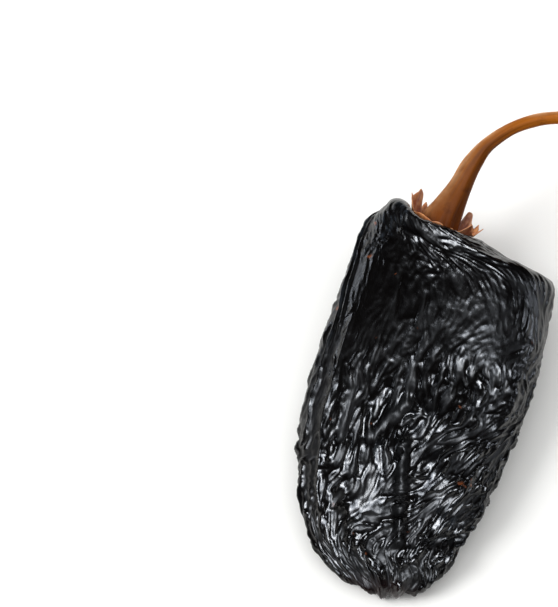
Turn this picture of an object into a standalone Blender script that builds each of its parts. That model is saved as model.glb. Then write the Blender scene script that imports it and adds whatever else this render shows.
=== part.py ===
"""Dried ancho chilli pepper: a flattened pod, the calyx in its shoulder and a curved stem.

Metres, +Z up. The pod lies on its flattened underside at z = 0, and the origin is on that
resting patch. +Y runs from the tip to the stem, and +X is to the right seen from above.
"""

from collections import namedtuple
from math import cos, pi, radians, sin

import bmesh
import bpy
from mathutils import Matrix, Vector

MM = 0.001

# Pod: overall sizes
POD_LENGTH = 110.5 * MM
POD_WIDTH = 60.5 * MM
POD_THICKNESS = 28.6 * MM
TIP_SHARE = 0.543           # share of the length that lies on the tip's side of the origin
REST_DEPTH = 0.7 * MM       # how far the underside is flattened
SIDES = 12                  # corners of one cage ring

# Seat: the round hollow in the shoulder that the calyx sits in
SEAT_ALONG = 0.946          # place of its rim centre, as shares of length, half width, thickness
SEAT_SIDE = -0.10
SEAT_HEIGHT = 0.664
SEAT_LEAN = radians(30)     # its axis points up by this much
SEAT_TURN = radians(20)     # and to the right by this much
SEAT_RADIUS = 11.0 * MM
SEAT_FLOOR_RADIUS = 7.0 * MM
SEAT_DEPTH = 4.5 * MM
SEAT_MARGIN = 9.0 * MM      # how far the cutter runs out past the rim

# Shoulder crest round the seat
CREST_SIDE_WIDTH = 8.5 * MM
CREST_TOP_WIDTH = 1.8 * MM
CREST_SHIFT = 5.0 * MM
CREST_DROP = 2.0 * MM
LIP_SIDE_WIDTH = 3.2 * MM
LIP_TOP_WIDTH = 0.2 * MM
LIP_SHIFT = 1.5 * MM
LIP_RISE = 0.6 * MM

# Calyx
GAP = 0.3 * MM
CALYX_THICKNESS = 0.9 * MM
CALYX_RISE = 1.6 * MM       # edge above the seat's rim, between the teeth
CALYX_SPREAD = 0.7 * MM     # how far the edge leans outwards
TEETH = 5
TOOTH_HEIGHT = 3.2 * MM
TOOTH_SHARPNESS = 4
CALYX_STEPS = 60

# Stem: radii, and the route of its middle measured from the centre of the seat's rim
STEM_BASE_MARGIN = 0.2 * MM # room between the stem's foot and the calyx's wall
STEM_RADIUS = 1.75 * MM
STEM_END_RADIUS = 2.6 * MM
STEM_RUN_IN = 1.2 * MM      # straight stretch above the calyx
StemPoint = namedtuple("StemPoint", "right along up radius")
STEM_ROUTE = (
    StemPoint(0.6 * MM, 2.0 * MM, 1.0 * MM, 4.75 * MM),
    StemPoint(3.2 * MM, 8.9 * MM, 4.0 * MM, 3.35 * MM),
    StemPoint(5.8 * MM, 15.6 * MM, 7.4 * MM, 2.6 * MM),
    StemPoint(9.5 * MM, 21.4 * MM, 10.3 * MM, 1.9 * MM),
    StemPoint(17.3 * MM, 27.6 * MM, 12.7 * MM, STEM_RADIUS),
    StemPoint(27.6 * MM, 31.6 * MM, 13.1 * MM, STEM_RADIUS),
    StemPoint(38.2 * MM, 33.0 * MM, 11.7 * MM, 2.0 * MM),
    StemPoint(44.8 * MM, 32.2 * MM, 9.6 * MM, 2.25 * MM),
    StemPoint(49.8 * MM, 30.4 * MM, 7.4 * MM, STEM_END_RADIUS),
)
STEM_STEPS = 4              # smooth points between two points of the route

# Pod outline, from the tip to the shoulder. along is a share of the length, side and half_width
# of the half width, middle of the thickness, half_height of half the thickness.
Ring = namedtuple("Ring", "along side half_width middle half_height lean turn")
POD_RINGS = (
    Ring(0.010, -0.04, 0.26, 0.15, 0.20, 0, 0),
    Ring(0.048, -0.08, 0.47, 0.19, 0.36, 0, 0),
    Ring(0.118, -0.12, 0.63, 0.24, 0.48, 0, 0),
    Ring(0.226, -0.11, 0.80, 0.31, 0.64, 0, 0),
    Ring(0.362, -0.09, 0.90, 0.37, 0.76, 0, 0),
    Ring(0.507, -0.02, 0.96, 0.42, 0.86, 0, 0),
    Ring(0.652, 0.05, 0.96, 0.46, 0.94, 0, 0),
    Ring(0.770, 0.08, 0.94, 0.49, 1.00, 5, 2),
    Ring(0.840, 0.11, 0.93, 0.52, 1.00, 14, 6),
    Ring(0.885, 0.13, 0.85, 0.55, 0.96, 22, 11),
)
TIP_HEIGHT = 0.15           # height of the tip's point, as a share of the thickness


def clear_scene():
    """Remove whatever the file opened with."""
    for old in list(bpy.data.objects):
        bpy.data.objects.remove(old, do_unlink=True)


def make_collection(name):
    """Return a new collection linked to the scene."""
    collection = bpy.data.collections.new(name)
    bpy.context.scene.collection.children.link(collection)
    return collection


def make_material(name, colour, roughness, metallic=0.0):
    """Return a Principled material; colour is linear."""
    material = bpy.data.materials.new(name)
    material.use_nodes = True
    shader = material.node_tree.nodes["Principled BSDF"]
    shader.inputs["Base Color"].default_value = (*colour, 1.0)
    shader.inputs["Roughness"].default_value = roughness
    shader.inputs["Metallic"].default_value = metallic
    return material


def add_object(name, data, collection, material=None):
    """Link a new object for data into the collection."""
    made = bpy.data.objects.new(name, data)
    collection.objects.link(made)
    if material:
        data.materials.append(material)
    return made


def frame_at(centre, lean, turn):
    """Return the matrix whose local Z points along +Y, leaned up and turned right."""
    right = Vector((cos(turn), -sin(turn), 0.0))
    out = Vector((sin(turn) * cos(lean), cos(turn) * cos(lean), sin(lean)))
    down = out.cross(right)
    axes = Matrix((right, down, out)).transposed().to_4x4()
    return Matrix.Translation(centre) @ axes


def pod_point(along, side, middle):
    """Return the place given by shares of the pod's length, half width and thickness."""
    return Vector((side * POD_WIDTH / 2, (along - TIP_SHARE) * POD_LENGTH, middle * POD_THICKNESS))


def seat_frame():
    """Return the seat's own frame: origin at its rim's centre, Z out of the hollow."""
    return frame_at(pod_point(SEAT_ALONG, SEAT_SIDE, SEAT_HEIGHT), SEAT_LEAN, SEAT_TURN)


def pod_cage_rings():
    """Return each cage ring as its frame, half width and half height, from tip to lip."""
    rings = []
    for ring in POD_RINGS:
        centre = pod_point(ring.along, ring.side, ring.middle)
        frame = frame_at(centre, radians(ring.lean), radians(ring.turn))
        rings.append((frame, ring.half_width * POD_WIDTH / 2, ring.half_height * POD_THICKNESS / 2))
    seat = seat_frame()
    crest = seat @ Matrix.Translation((CREST_SHIFT, 0.0, -CREST_DROP))
    rings.append((crest, SEAT_RADIUS + CREST_SIDE_WIDTH, SEAT_RADIUS + CREST_TOP_WIDTH))
    lip = seat @ Matrix.Translation((LIP_SHIFT, 0.0, LIP_RISE))
    rings.append((lip, SEAT_RADIUS + LIP_SIDE_WIDTH, SEAT_RADIUS + LIP_TOP_WIDTH))
    return rings


def make_pod(collection, material):
    """Model the pod: a sphere whose rings are drawn out to the pod's sections, then smoothed."""
    rings = pod_cage_rings()
    swell = 3.0 / (2.0 + cos(2 * pi / SIDES))   # smoothing draws a ring in by this much
    cage = bmesh.new()
    bmesh.ops.create_uvsphere(cage, u_segments=SIDES, v_segments=len(rings) + 1, radius=1.0)
    levels = sorted({round(vert.co.z, 4) for vert in cage.verts})
    for vert in cage.verts:
        level = levels.index(round(vert.co.z, 4))
        if level == 0:
            vert.co = pod_point(0.0, 0.0, TIP_HEIGHT)
        elif level == len(levels) - 1:
            vert.co = seat_frame() @ Vector((0.0, 0.0, LIP_RISE))
        else:
            frame, half_width, half_height = rings[level - 1]
            around = Vector((vert.co.x, vert.co.y)).normalized() * swell
            vert.co = frame @ Vector((around.x * half_width, around.y * half_height, 0.0))
    bmesh.ops.recalc_face_normals(cage, faces=cage.faces)
    mesh = bpy.data.meshes.new("pod")
    cage.to_mesh(mesh)
    cage.free()
    mesh.shade_smooth()
    pod = add_object("pod", mesh, collection, material)
    smooth = pod.modifiers.new("smooth", "SUBSURF")
    smooth.levels = 2
    smooth.render_levels = 2
    return pod


def make_cutter(name, mesh_tool, collection):
    """Link the solid that mesh_tool builds as a hidden cutter."""
    mesh = bpy.data.meshes.new(name)
    mesh_tool.to_mesh(mesh)
    mesh_tool.free()
    cutter = add_object(name, mesh, collection)
    cutter.hide_render = True
    cutter.display_type = "WIRE"
    return cutter


def cut(target, cutter):
    """Take the cutter's volume out of the target."""
    boolean = target.modifiers.new(cutter.name, "BOOLEAN")
    boolean.operation = "DIFFERENCE"
    boolean.solver = "EXACT"
    boolean.object = cutter


def make_rest_cutter(collection):
    """Model the slab that flattens the pod's underside at z = 0."""
    slab = bmesh.new()
    bmesh.ops.create_cube(slab, size=1.0)
    depth = POD_THICKNESS
    bmesh.ops.scale(slab, vec=(2 * POD_WIDTH, 2 * POD_LENGTH, depth), verts=slab.verts)
    bmesh.ops.translate(slab, vec=(0.0, 0.0, -depth / 2), verts=slab.verts)
    return make_cutter("rest_cutter", slab, collection)


def make_seat_cutter(collection):
    """Model the cone that hollows the seat: its floor, its wall and its run out past the rim."""
    slope = (SEAT_RADIUS - SEAT_FLOOR_RADIUS) / SEAT_DEPTH
    height = SEAT_DEPTH + SEAT_MARGIN
    cone = bmesh.new()
    bmesh.ops.create_cone(
        cone, cap_ends=True, segments=CALYX_STEPS, depth=height,
        radius1=SEAT_FLOOR_RADIUS, radius2=SEAT_FLOOR_RADIUS + slope * height)
    bmesh.ops.translate(cone, vec=(0.0, 0.0, height / 2 - SEAT_DEPTH), verts=cone.verts)
    bmesh.ops.transform(cone, matrix=seat_frame(), verts=cone.verts)
    return make_cutter("seat_cutter", cone, collection)


def calyx_profile():
    """Return the calyx's underside, from its middle to its edge, as (radius, height) points."""
    slope = (SEAT_RADIUS - SEAT_FLOOR_RADIUS) / SEAT_DEPTH
    floor = GAP - SEAT_DEPTH
    foot = SEAT_FLOOR_RADIUS - 2 * GAP
    waist = foot + slope * SEAT_DEPTH / 2
    rim = foot + slope * SEAT_DEPTH
    return ((0.0, floor), (foot / 2, floor), (foot, floor), (waist, floor + SEAT_DEPTH / 2),
            (rim, floor + SEAT_DEPTH), (rim + CALYX_SPREAD, floor + SEAT_DEPTH + CALYX_RISE))


def make_calyx(collection, material):
    """Model the calyx: a turned dish whose edge is drawn up into teeth, given its thickness."""
    profile = calyx_profile()
    dish = bmesh.new()
    verts = [dish.verts.new((radius, 0.0, height)) for radius, height in profile]
    edges = [dish.edges.new(pair) for pair in zip(verts, verts[1:])]
    bmesh.ops.spin(dish, geom=verts + edges, cent=(0, 0, 0), axis=(0, 0, 1), angle=2 * pi,
                   steps=CALYX_STEPS, use_merge=True)
    bmesh.ops.remove_doubles(dish, verts=dish.verts, dist=0.01 * MM)
    edge_height = profile[-1][1]
    for vert in dish.verts:
        if vert.co.z > edge_height - CALYX_RISE / 2:
            angle = Vector((vert.co.x, vert.co.y)).angle_signed(Vector((-1.0, 0.0)))
            tooth = (0.5 + 0.5 * cos(TEETH * angle)) ** TOOTH_SHARPNESS
            vert.co.z += tooth * TOOTH_HEIGHT
    bmesh.ops.recalc_face_normals(dish, faces=dish.faces)
    bmesh.ops.transform(dish, matrix=seat_frame(), verts=dish.verts)
    mesh = bpy.data.meshes.new("calyx")
    dish.to_mesh(mesh)
    dish.free()
    calyx = add_object("calyx", mesh, collection, material)
    wall = calyx.modifiers.new("wall", "SOLIDIFY")
    wall.thickness = CALYX_THICKNESS
    wall.offset = inward_offset(mesh, seat_frame())
    return calyx


def inward_offset(mesh, frame):
    """Return the Solidify offset that builds the wall on the dish's inner side."""
    out = frame.to_3x3() @ Vector((0.0, 0.0, 1.0))
    floor = min(mesh.polygons, key=lambda face: (face.center - frame.translation).dot(out))
    return 1.0 if floor.normal.dot(out) > 0 else -1.0


def stem_base_radius():
    """Return the radius of the stem's foot, which stands on the calyx's floor."""
    return SEAT_FLOOR_RADIUS - 2 * GAP - CALYX_THICKNESS - STEM_BASE_MARGIN


def stem_points():
    """Return the stem's middle line and radii: a smooth curve through the route's points."""
    seat = seat_frame()
    out = seat.to_3x3() @ Vector((0.0, 0.0, 1.0))
    base = seat.translation + out * (2 * GAP + CALYX_THICKNESS - SEAT_DEPTH)
    places = [base, base + out * STEM_RUN_IN]
    radii = [stem_base_radius()] * 2
    for point in STEM_ROUTE:
        places.append(seat.translation + Vector((point.right, point.along, point.up)))
        radii.append(point.radius)
    knots = [place.to_4d() for place in places]
    for knot, radius in zip(knots, radii):
        knot.w = radius
    knots = [knots[0]] + knots + [2 * knots[-1] - knots[-2]]
    smooth = [knots[1]]
    for before, start, end, after in zip(knots[1:], knots[2:], knots[3:], knots[4:]):
        for step in range(STEM_STEPS):
            smooth.append(catmull_rom(before, start, end, after, step / STEM_STEPS))
    smooth.append(knots[-2])
    return smooth


def catmull_rom(before, start, end, after, share):
    """Return the point at share of the way from start to end on a smooth curve."""
    return 0.5 * (2 * start + (end - before) * share
                  + (2 * before - 5 * start + 4 * end - after) * share ** 2
                  + (3 * start - before - 3 * end + after) * share ** 3)


def make_stem(collection, material):
    """Model the stem: a round tube whose radius follows the route."""
    points = stem_points()
    curve = bpy.data.curves.new("stem", "CURVE")
    curve.dimensions = "3D"
    curve.bevel_depth = 1.0
    curve.bevel_resolution = 6
    curve.use_fill_caps = True
    line = curve.splines.new("POLY")
    line.points.add(len(points) - 1)
    for target, source in zip(line.points, points):
        target.co = (source.x, source.y, source.z, 1.0)
        target.radius = source.w
    return add_object("stem", curve, collection, material)


def main():
    """Build the pepper."""
    clear_scene()
    pepper = make_collection("dried_chilli_pepper")
    cutters = make_collection("cutters")
    skin = make_material("dried_skin", (0.012, 0.008, 0.007), 0.3)
    husk = make_material("dried_calyx", (0.20, 0.075, 0.030), 0.75)
    wood = make_material("dried_stem", (0.30, 0.125, 0.040), 0.65)
    pod = make_pod(pepper, skin)
    pod.location.z = -REST_DEPTH
    make_calyx(pepper, husk).location.z = -REST_DEPTH
    make_stem(pepper, wood).location.z = -REST_DEPTH
    seat_cutter = make_seat_cutter(cutters)
    seat_cutter.location.z = -REST_DEPTH
    cut(pod, seat_cutter)
    cut(pod, make_rest_cutter(cutters))


main()
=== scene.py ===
"""Dried chilli pepper: the looks of its wrinkled skin, papery calyx and woody stem."""

import logging
from dataclasses import dataclass, field
from enum import Enum
from math import cos, exp, pi, radians, sin

import bpy
import numpy as np
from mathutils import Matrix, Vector
from mathutils.bvhtree import BVHTree


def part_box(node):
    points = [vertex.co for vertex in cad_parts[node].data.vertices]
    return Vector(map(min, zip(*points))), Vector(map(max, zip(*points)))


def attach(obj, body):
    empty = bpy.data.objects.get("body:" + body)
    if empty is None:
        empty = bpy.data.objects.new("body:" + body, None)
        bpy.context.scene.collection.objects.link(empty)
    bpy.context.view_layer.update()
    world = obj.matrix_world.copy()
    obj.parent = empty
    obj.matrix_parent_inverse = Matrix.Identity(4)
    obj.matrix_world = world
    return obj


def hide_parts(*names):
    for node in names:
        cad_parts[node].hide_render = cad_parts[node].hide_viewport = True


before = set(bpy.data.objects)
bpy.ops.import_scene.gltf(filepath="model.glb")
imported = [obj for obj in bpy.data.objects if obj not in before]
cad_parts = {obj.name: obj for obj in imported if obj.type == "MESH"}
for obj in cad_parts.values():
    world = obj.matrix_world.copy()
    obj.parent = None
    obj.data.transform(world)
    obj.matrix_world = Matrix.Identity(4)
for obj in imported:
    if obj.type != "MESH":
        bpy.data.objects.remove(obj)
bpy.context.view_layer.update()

MM = 0.001
STROKE_BAND = 0.55          # how much of the wide blobs is taken off the small ones
STROKE_SAMPLES = 17         # noise values that a stroke averages along its length
WIDTH_CUT = 0.7             # how sharply swells are told from wrinkles, at the widest wrinkle's width
log = logging.getLogger("pepper")
Grid = np.ndarray


# ---------------------------------------------------------------- small tools


def linear(hex_colour: str) -> tuple[float, float, float, float]:
    """Turn an sRGB colour into the linear one that the shaders use.

    Args:
        hex_colour: six hex digits, such as "2B1408".

    Returns:
        Linear red, green and blue, and an alpha of one.
    """
    parts = [int(hex_colour[i:i + 2], 16) / 255 for i in (0, 2, 4)]
    return (*[p / 12.92 if p <= 0.04045 else ((p + 0.055) / 1.055) ** 2.4 for p in parts], 1.0)


def add_node(tree: bpy.types.NodeTree, kind: str, links: dict | None = None, **settings):
    """Add a shader node with its settings and links.

    Args:
        tree: the node tree.
        kind: the node's type, such as "ShaderNodeTexNoise".
        links: input name or number to an output socket, or to a plain value.
        settings: attributes of the node.

    Returns:
        The new node.
    """
    made = tree.nodes.new(kind)
    for name, value in settings.items():
        setattr(made, name, value)
    for name, value in (links or {}).items():
        if isinstance(value, bpy.types.NodeSocket):
            tree.links.new(value, made.inputs[name])
        else:
            made.inputs[name].default_value = value
    return made


def add_ramp(tree: bpy.types.NodeTree, factor, stops: list[tuple[float, tuple]]):
    """Add a colour ramp.

    Args:
        tree: the node tree.
        factor: the socket that drives it.
        stops: position and linear colour of each stop.

    Returns:
        The ramp's colour socket.
    """
    ramp = add_node(tree, "ShaderNodeValToRGB", {"Fac": factor})
    marks = ramp.color_ramp.elements
    while len(marks) < len(stops):
        marks.new(1.0)
    for mark, (position, colour) in zip(marks, stops):
        mark.position = position
        mark.color = colour
    return ramp.outputs["Color"]


def grey(value: float) -> tuple[float, float, float, float]:
    """Return a linear grey for a ramp that carries a number."""
    return (value, value, value, 1.0)


def unit(vectors: Grid) -> Grid:
    """Return the vectors at length one."""
    return vectors / np.maximum(np.linalg.norm(vectors, axis=-1, keepdims=True), 1e-12)


def dot(a: Grid, b: Grid) -> Grid:
    """Return the dot products of two grids of vectors, with a last axis of one."""
    return np.sum(a * b, axis=-1, keepdims=True)


def smooth_step(low: float, high: float, value: Grid) -> Grid:
    """Return 0 below low and 1 above high, with a smooth rise between them."""
    share = np.clip((value - low) / (high - low), 0.0, 1.0)
    return share * share * (3.0 - 2.0 * share)


def soft_noise(draws: np.random.Generator, shape: tuple[int, int], cells: tuple[float, float]) -> Grid:
    """Make a smooth random field that closes on itself round the columns.

    Args:
        draws: the random source.
        shape: rows and columns.
        cells: blob size in rows and in columns.

    Returns:
        The field, with a mean of zero and a spread of one.
    """
    field_ = np.fft.fft2(draws.standard_normal(shape))
    rows = np.fft.fftfreq(shape[0])[:, None] * cells[0]
    columns = np.fft.fftfreq(shape[1])[None, :] * cells[1]
    field_ = np.fft.ifft2(field_ * np.exp(-2.0 * (rows ** 2 + columns ** 2) * pi)).real
    return (field_ - field_.mean()) / field_.std()


def gather(values: Grid, rows: Grid, columns: Grid) -> Grid:
    """Read a field between its points; it closes on itself round the columns."""
    rows = np.clip(rows, 0, values.shape[0] - 1.001)
    row, column = np.floor(rows).astype(int), np.floor(columns).astype(int)
    down, right = rows - row, columns - column
    column, after = column % values.shape[1], (column + 1) % values.shape[1]
    upper = values[row, column] * (1 - right) + values[row, after] * right
    lower = values[row + 1, column] * (1 - right) + values[row + 1, after] * right
    return upper * (1 - down) + lower * down


def strokes(draws: np.random.Generator, lean: Grid, width: float, length: float) -> Grid:
    """Make a field of short crests that follow a direction.

    Args:
        draws: the random source.
        lean: the angle from the columns' way at each point.
        width: distance from crest to crest, in grid steps.
        length: length of a crest, in grid steps.

    Returns:
        A field from 0 in narrow furrows to about 1 on rounded crests.
    """
    shape = lean.shape
    small = soft_noise(draws, shape, (width / 2, width / 2))
    band = small - STROKE_BAND * soft_noise(draws, shape, (width, width))
    rows = np.arange(shape[0])[:, None] + 0 * lean
    columns = np.arange(shape[1])[None, :] + 0 * lean
    total = np.zeros(shape)
    for step in np.linspace(-1, 1, STROKE_SAMPLES):
        reach = step * length
        total += exp(-2.0 * step * step) * gather(
            band, rows + reach * np.cos(lean), columns - reach * np.sin(lean))
    return np.abs(total) / total.std()


def ringed_form(name: str, places: Grid) -> bpy.types.Object:
    """Model a closed form: a sphere primitive whose rings are moved to their places.

    Args:
        name: the piece's name.
        places: rows by columns of points; the first and last rows are the two poles.

    Returns:
        The new object, at the origin, with its place in its mesh.
    """
    rows, columns = places.shape[0] - 1, places.shape[1]
    bpy.ops.object.select_all(action="DESELECT")
    bpy.ops.mesh.primitive_uv_sphere_add(segments=columns, ring_count=rows, radius=1.0)
    piece = bpy.context.object
    piece.name = piece.data.name = name
    ball = np.empty(len(piece.data.vertices) * 3, np.float32)
    piece.data.vertices.foreach_get("co", ball)
    ball = ball.reshape(-1, 3)
    row = np.rint(np.arccos(np.clip(-ball[:, 2], -1, 1)) / pi * rows).astype(int)
    column = np.rint(np.arctan2(ball[:, 1], ball[:, 0]) / (2 * pi) * columns).astype(int) % columns
    piece.data.vertices.foreach_set("co", places[row, column].astype(np.float32).ravel())
    face_outwards(piece)
    piece.data.shade_smooth()
    piece["row"], piece["column"] = row.tolist(), column.tolist()
    return piece


def face_outwards(piece: bpy.types.Object) -> None:
    """Turn all the faces of a closed piece outwards."""
    bpy.ops.object.mode_set(mode="EDIT")
    bpy.ops.mesh.select_all(action="SELECT")
    bpy.ops.mesh.normals_make_consistent(inside=False)
    bpy.ops.object.mode_set(mode="OBJECT")


def paint_attribute(piece: bpy.types.Object, name: str, values: Grid) -> None:
    """Store one number for each point of a ringed form, for its material to read."""
    attribute = piece.data.attributes.new(name, "FLOAT", "POINT")
    spread = values[np.array(piece["row"]), np.array(piece["column"])]
    attribute.data.foreach_set("value", spread.astype(np.float32).ravel())


def forget_order(piece: bpy.types.Object) -> None:
    """Drop the lists that say which point of the form is which."""
    del piece["row"], piece["column"]


def dress(piece: bpy.types.Object, material: bpy.types.Material) -> None:
    """Give a piece its finish and its body.

    Args:
        piece: the piece.
        material: its material.
    """
    piece.data.materials.clear()
    piece.data.materials.append(material)
    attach(piece, "root")
    log.info("%s: %d faces", piece.name, len(piece.data.polygons))


# ---------------------------------------------------------------- where the pieces sit


@dataclass(frozen=True)
class Seat:
    """The hollow in the pod's shoulder, read from the frame: its floor's middle and its axes."""

    lean: float = radians(30)
    turn: float = radians(20)
    depth: float = 4.5 * MM
    level: float = 0.9999       # how squarely a face of its floor looks out

    def axes(self) -> tuple[Vector, Vector, Vector]:
        """Return the directions to the right, down into the pod's back, and out of the hollow."""
        right = Vector((cos(self.turn), -sin(self.turn), 0.0))
        out = Vector((sin(self.turn) * cos(self.lean), cos(self.turn) * cos(self.lean), sin(self.lean)))
        return right, out.cross(right), out

    def floor(self) -> Vector:
        """Return the middle of the seat's flat floor, from the faces of the pod that lie in it."""
        out = self.axes()[2]
        faces = [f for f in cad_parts["pod"].data.polygons if f.normal.dot(out) > self.level]
        area = sum(f.area for f in faces)
        return sum((f.center * f.area for f in faces), Vector()) / area

    def place(self, right: Grid, down: Grid, out: Grid) -> Grid:
        """Return points given by their distances from the middle of the seat's rim."""
        axes = np.array([tuple(axis) for axis in self.axes()])
        rim = np.array(self.floor() + self.axes()[2] * self.depth)
        return rim + right[..., None] * axes[0] + down[..., None] * axes[1] + out[..., None] * axes[2]


# ---------------------------------------------------------------- pod


@dataclass(frozen=True)
class Drying:
    """One round of drying: how much too large the skin is, and how stiff it is."""

    stride: int             # takes every how many points of the grid
    rounds: int
    across: float           # growth across the wrinkles
    along: float            # growth along them
    bending: float
    hold: float             # how hard the flesh holds the skin to its place
    outward_hold: float     # the same for what stands out, which flattens the crests
    widest: float           # widest wrinkle, in grid steps
    seed: int
    ramp: float = 0.4       # share of the rounds over which the growth comes
    slide_hold: float = 0.01
    swell_hold: float = 0.3
    momentum: float = 0.8
    pull: float = 0.15          # share of a spring's stretch that one round takes back
    unevenness: float = 0.05    # of the start, as a share of a spring's length
    start_blob: float = 1.5     # size of that unevenness, in grid steps


@dataclass
class SkinSheet:
    """A closed grid of skin that wrinkles as the flesh under it dries and shrinks.

    The skin is a net of springs whose lengths grow while the flesh stays, so that it has to
    buckle. Its stiffness sets how wide the wrinkles are, and the growth how deep.
    """

    points: Grid

    def steps(self, grid: Grid) -> list[Grid]:
        """Return the vectors across, along and on both diagonals between neighbouring points."""
        right = np.roll(grid, -1, 1)
        return [right - grid, grid[1:] - grid[:-1], right[1:] - grid[:-1], grid[1:] - right[:-1]]

    def mean_of_neighbours(self, grid: Grid) -> Grid:
        """Return the mean of the four neighbours; the poles keep their own values."""
        mean = grid.copy()
        sides = np.roll(grid, 1, 1) + np.roll(grid, -1, 1)
        mean[1:-1] = (sides[1:-1] + grid[:-2] + grid[2:]) / 4
        return mean

    def normals(self, grid: Grid) -> Grid:
        """Return the outward normals of the grid."""
        around = np.roll(grid, -1, 1) - np.roll(grid, 1, 1)
        along = np.gradient(grid, axis=0)
        normal = unit(np.cross(around, along))
        outward = np.sum(normal * (grid - grid.mean((0, 1))))
        return normal * np.sign(outward)

    def grown(self, drying: Drying, direction: Grid, amount: Grid) -> tuple[list[Grid], list[Grid]]:
        """Return each spring's first length and its grown one.

        Args:
            drying: the round of drying.
            direction: unit vectors along the wrinkles.
            amount: how much of the growth each point takes.

        Returns:
            The first lengths and the grown lengths, each as a list of grids.
        """
        first, last = [], []
        for step in self.steps(self.points):
            way = direction[:step.shape[0]]
            share = amount[:step.shape[0], :, None]
            length = np.linalg.norm(step, axis=-1, keepdims=True)
            lengthwise = dot(step, way)
            crosswise = np.sqrt(np.maximum(length ** 2 - lengthwise ** 2, 0.0))
            along = lengthwise * (1 + (drying.along - 1) * share)
            across = crosswise * (1 + (drying.across - 1) * share)
            first.append(length)
            last.append(np.sqrt(along ** 2 + across ** 2))
        return first, last

    def dry(self, drying: Drying, direction: Grid, amount: Grid) -> None:
        """Let the skin buckle.

        Args:
            drying: the round of drying.
            direction: unit vectors along the wrinkles.
            amount: how much of the growth each point takes.
        """
        flesh = self.points.copy()
        normal = self.normals(flesh)
        first, last = self.grown(drying, direction, amount)
        draws = np.random.default_rng(drying.seed)
        start = soft_noise(draws, flesh.shape[:2], (drying.start_blob,) * 2)[..., None]
        skin = flesh + normal * start * np.median(first[0]) * drying.unevenness
        curve = self.mean_of_neighbours(flesh) - flesh
        widths = self.blur_widths(flesh.shape[:2], drying.widest)
        speed = np.zeros_like(skin)
        for step_number in range(drying.rounds):
            ramp = min(1.0, (step_number + 1) / (drying.ramp * drying.rounds))
            push = np.zeros_like(skin)
            for number, step in enumerate(self.steps(skin)):
                wanted = first[number] + (last[number] - first[number]) * ramp
                length = np.linalg.norm(step, axis=-1, keepdims=True)
                half = step * (0.5 * (length - wanted) / np.maximum(length, 1e-9))
                self.share_out(push, half, number)
            bend = self.mean_of_neighbours(skin) - skin - curve
            move = push * drying.pull - drying.bending * (self.mean_of_neighbours(bend) - bend)
            away = dot(skin - flesh, normal)
            slide = skin - flesh - normal * away
            swell = np.fft.ifft2(np.fft.fft2(away[..., 0]) * widths).real[..., None]
            hold = np.where(away > 0, drying.outward_hold, drying.hold)
            move -= normal * (away * hold + swell * drying.swell_hold) + slide * drying.slide_hold
            speed = speed * drying.momentum + move
            skin[1:-1] += speed[1:-1]
        self.points = skin

    @staticmethod
    def blur_widths(shape: tuple[int, int], widest: float) -> Grid:
        """Return the filter that keeps only what is wider than the widest wrinkle."""
        rows = np.fft.fftfreq(shape[0])[:, None]
        columns = np.fft.fftfreq(shape[1])[None, :]
        return np.exp(-WIDTH_CUT * ((rows ** 2 + columns ** 2) * widest ** 2) ** 2)

    @staticmethod
    def share_out(push: Grid, half: Grid, number: int) -> None:
        """Add half of a spring's pull to the points at its two ends."""
        if number == 0:
            push += half
            push -= np.roll(half, 1, 1)
        elif number == 1:
            push[:-1] += half
            push[1:] -= half
        elif number == 2:
            push[:-1] += half
            push[1:] -= np.roll(half, 1, 1)
        else:
            push[:-1] += np.roll(half, 1, 1)
            push[1:] -= half


@dataclass(frozen=True)
class Fold:
    """A large fold, hollow or lump on the upper side: a stroke seen from above, in millimetres."""

    start: tuple[float, float]
    end: tuple[float, float]
    width: float
    height: float = 0.0
    smooth: float = 0.0         # how much of the fine wrinkling it takes away

    def weight(self, places: Grid) -> Grid:
        """Return 1 on the stroke, falling to 0 with the distance from it seen from above."""
        start = np.array(self.start) * MM
        way = np.array(self.end) * MM - start
        offset = places[..., :2] - start
        share = np.clip(offset @ way / max(way @ way, 1e-12), 0.0, 1.0)
        distance = np.linalg.norm(offset - share[..., None] * way, axis=-1)
        return np.exp(-(distance / (self.width * MM)) ** 2)


@dataclass(frozen=True)
class Rib:
    """A lengthwise rib that follows the pod's side from its tip to its shoulder, in millimetres."""

    inward: float               # distance from the pod's left edge, over the upper side
    begin: float                # as a share of the way from the tip to the seat
    end: float
    width: float
    height: float
    run_out: float = 0.08       # share of the way over which its ends fade

    def weight(self, columns: Grid, rows: Grid, spacing: float) -> Grid:
        """Return 1 on the rib, falling to 0 beside it and past its ends.

        Args:
            columns: columns counted from the left edge.
            rows: share of the way from tip to seat.
            spacing: distance between two columns.

        Returns:
            The weight of each point.
        """
        beside = np.exp(-((columns * spacing - self.inward * MM) / (self.width * MM)) ** 2)
        begun = smooth_step(self.begin, self.begin + self.run_out, rows)
        ended = smooth_step(self.end - self.run_out, self.end, rows)
        return beside * begun * (1 - ended)


class Profile(Enum):
    """How a crest is rounded."""

    FLAT = "flat tops between narrow furrows"
    ROUND = "round tops between narrow furrows"
    SHARP = "sharp tops between wide furrows"


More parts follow.
